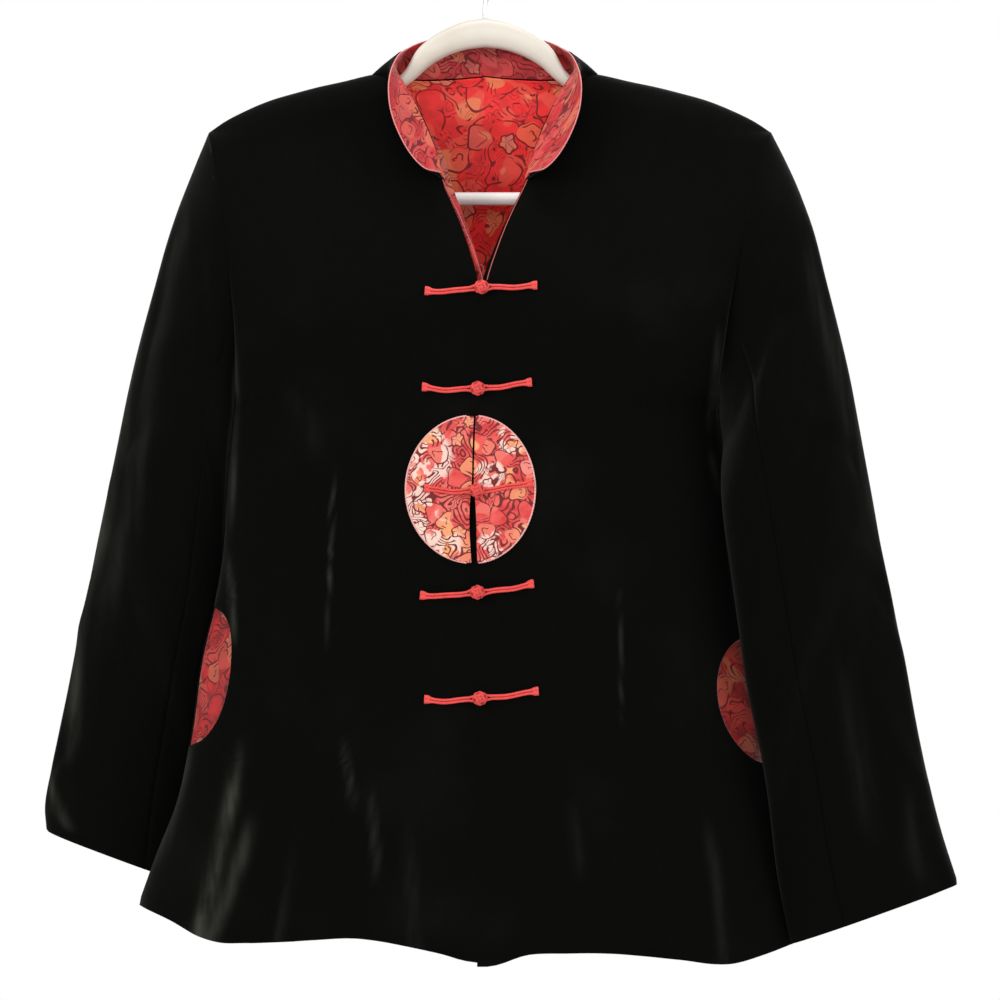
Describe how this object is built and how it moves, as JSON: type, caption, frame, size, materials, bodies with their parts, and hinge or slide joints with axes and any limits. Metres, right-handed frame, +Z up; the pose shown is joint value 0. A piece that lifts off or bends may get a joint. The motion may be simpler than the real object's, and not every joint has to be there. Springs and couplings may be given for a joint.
{
  "type": "reversible jacket on a hanger",
  "caption": "Velvet jacket with a brocade lining, stand collar, frog closures, half-moon pockets and a round applique, hanging on a contoured suit hanger with its crossbar.",
  "frame": {"origin": "the inner top of the hanger's hook, where a rail carries it", "axes": "+Z up, the jacket's fronts face -Y, and the wearer's left side is at +X"},
  "size_m": [0.6734, 0.1413, 0.7526],
  "materials": {
    "velvet": "black velvet with a soft pile that lifts to grey at the folds",
    "brocade": "red satin brocade with a woven pattern of clouds and flowers",
    "frog_cord": "rolled red satin cord",
    "hanger_plastic": "cream moulded plastic, satin gloss",
    "hook_steel": "bright plated steel wire"
  },
  "bodies": {
    "root": {"front_right": "velvet", "front_left": "velvet", "back": "velvet", "sleeve_right_upper": "velvet", "sleeve_right_under": "velvet", "sleeve_left_upper": "velvet", "sleeve_left_under": "velvet", "collar_velvet": "velvet", "collar_lining": "brocade", "back_lining": "brocade", "pocket_right": "brocade", "pocket_left": "brocade", "medallion_right": "brocade", "medallion_left": "brocade", "frog_1_knot": "frog_cord", "frog_1_leg_right": "frog_cord", "frog_1_leg_left": "frog_cord", "frog_2_knot": "frog_cord", "frog_2_leg_right": "frog_cord", "frog_2_leg_left": "frog_cord", "frog_3_knot": "frog_cord", "frog_3_leg_right": "frog_cord", "frog_3_leg_left": "frog_cord", "frog_4_knot": "frog_cord", "frog_4_leg_right": "frog_cord", "frog_4_leg_left": "frog_cord", "frog_5_knot": "frog_cord", "frog_5_leg_right": "frog_cord", "frog_5_leg_left": "frog_cord", "hanger_arms": "hanger_plastic", "hanger_bar": "hanger_plastic", "hanger_hook": "hook_steel"}
  },
  "joints": []
}
